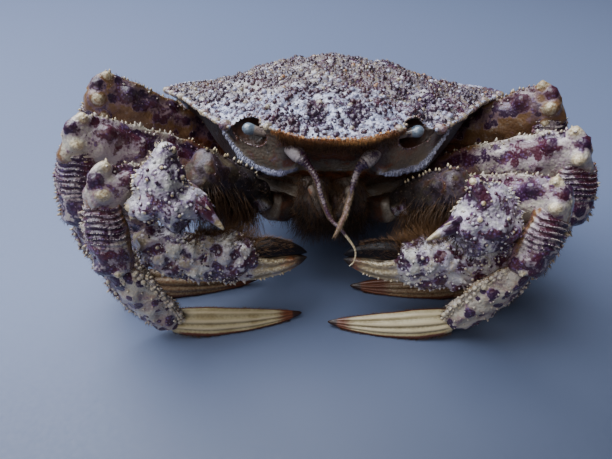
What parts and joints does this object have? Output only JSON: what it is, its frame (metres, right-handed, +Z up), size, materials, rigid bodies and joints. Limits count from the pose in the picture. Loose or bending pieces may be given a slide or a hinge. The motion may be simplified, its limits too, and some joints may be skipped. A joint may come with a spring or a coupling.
{
  "type": "helmet crab",
  "caption": "Still, life-size model of a helmet crab with folded spiny claws and flat tapered toes, resting on the floor.",
  "frame": {"origin": "on the floor, below the middle of the whole model", "axes": "+Z up, -Y the way the crab looks, +X to the crab's left"},
  "size_m": [0.1448, 0.1106, 0.0623],
  "materials": {
    "shell": "bluish white with close dark purple granules, satin",
    "underside": "plain tan, satin",
    "claw": "white and lilac with purple blotches and cream spines, satin",
    "dark_finger": "dark brown to black, glossy",
    "eye": "pale bluish grey, glossy",
    "feeler": "purple brown rings, fringed with fine hairs",
    "mouthparts": "brown with short hairs, satin",
    "leg": "white and beige with dark purple blotches, satin",
    "toe": "straw coloured horn with brown edge and tip, satin"
  },
  "bodies": {
    "root": {"carapace": "shell", "chest": "underside", "left_claw_arm": "claw", "left_claw_finger": "dark_finger", "left_claw_palm": "claw", "left_claw_wrist": "claw", "left_eye": "eye", "left_feeler": "feeler", "left_jaw_foot": "mouthparts", "left_leg_1_carpus": "leg", "left_leg_1_dactylus": "toe", "left_leg_1_merus": "leg", "left_leg_1_propodus": "leg", "left_leg_2_carpus": "leg", "left_leg_2_dactylus": "toe", "left_leg_2_merus": "leg", "left_leg_2_propodus": "leg", "left_leg_3_carpus": "leg", "left_leg_3_dactylus": "toe", "left_leg_3_merus": "leg", "left_leg_3_propodus": "leg", "left_leg_4_carpus": "leg", "left_leg_4_dactylus": "toe", "left_leg_4_merus": "leg", "left_leg_4_propodus": "leg", "right_claw_arm": "claw", "right_claw_finger": "dark_finger", "right_claw_palm": "claw", "right_claw_wrist": "claw", "right_eye": "eye", "right_feeler": "feeler", "right_jaw_foot": "mouthparts", "right_leg_1_carpus": "leg", "right_leg_1_dactylus": "toe", "right_leg_1_merus": "leg", "right_leg_1_propodus": "leg", "right_leg_2_carpus": "leg", "right_leg_2_dactylus": "toe", "right_leg_2_merus": "leg", "right_leg_2_propodus": "leg", "right_leg_3_carpus": "leg", "right_leg_3_dactylus": "toe", "right_leg_3_merus": "leg", "right_leg_3_propodus": "leg", "right_leg_4_carpus": "leg", "right_leg_4_dactylus": "toe", "right_leg_4_merus": "leg", "right_leg_4_propodus": "leg", "tail": "underside"}
  },
  "joints": []
}
